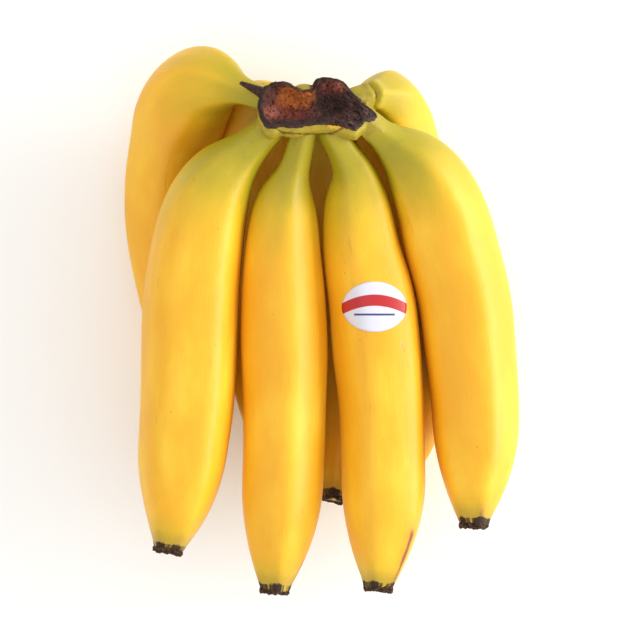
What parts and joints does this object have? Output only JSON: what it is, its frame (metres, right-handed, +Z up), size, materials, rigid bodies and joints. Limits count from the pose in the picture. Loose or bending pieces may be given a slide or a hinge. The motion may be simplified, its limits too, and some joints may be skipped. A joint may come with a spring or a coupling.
{
  "type": "bunch of bananas",
  "caption": "Bunch of ripe yellow bananas lying on its rounded back, curved fingers in rows joined at a dark cut crown, with a small plain paper sticker.",
  "frame": {"origin": "on the surface the bunch lies on, under the middle of its outline", "axes": "+Z up from the surface, +Y from the finger ends towards the crown, +X to the right seen from above with the crown away from the viewer"},
  "size_m": [0.171, 0.2332, 0.0845],
  "materials": {
    "peel": null,
    "crown": null,
    "blossom_end": null,
    "label": "satin coated paper sticker, white with plain bands"
  },
  "bodies": {
    "root": {"crown": "crown", "finger_front_1": "peel", "finger_front_2": "peel", "finger_front_3": "peel", "finger_front_4": "peel", "finger_back_1": "peel", "finger_back_2": "peel", "finger_back_3": "peel", "finger_back_4": "peel", "blossom_front_1": "blossom_end", "blossom_front_2": "blossom_end", "blossom_front_3": "blossom_end", "blossom_front_4": "blossom_end", "blossom_back_1": "blossom_end", "blossom_back_2": "blossom_end", "blossom_back_3": "blossom_end", "blossom_back_4": "blossom_end", "label": "label"}
  },
  "joints": []
}
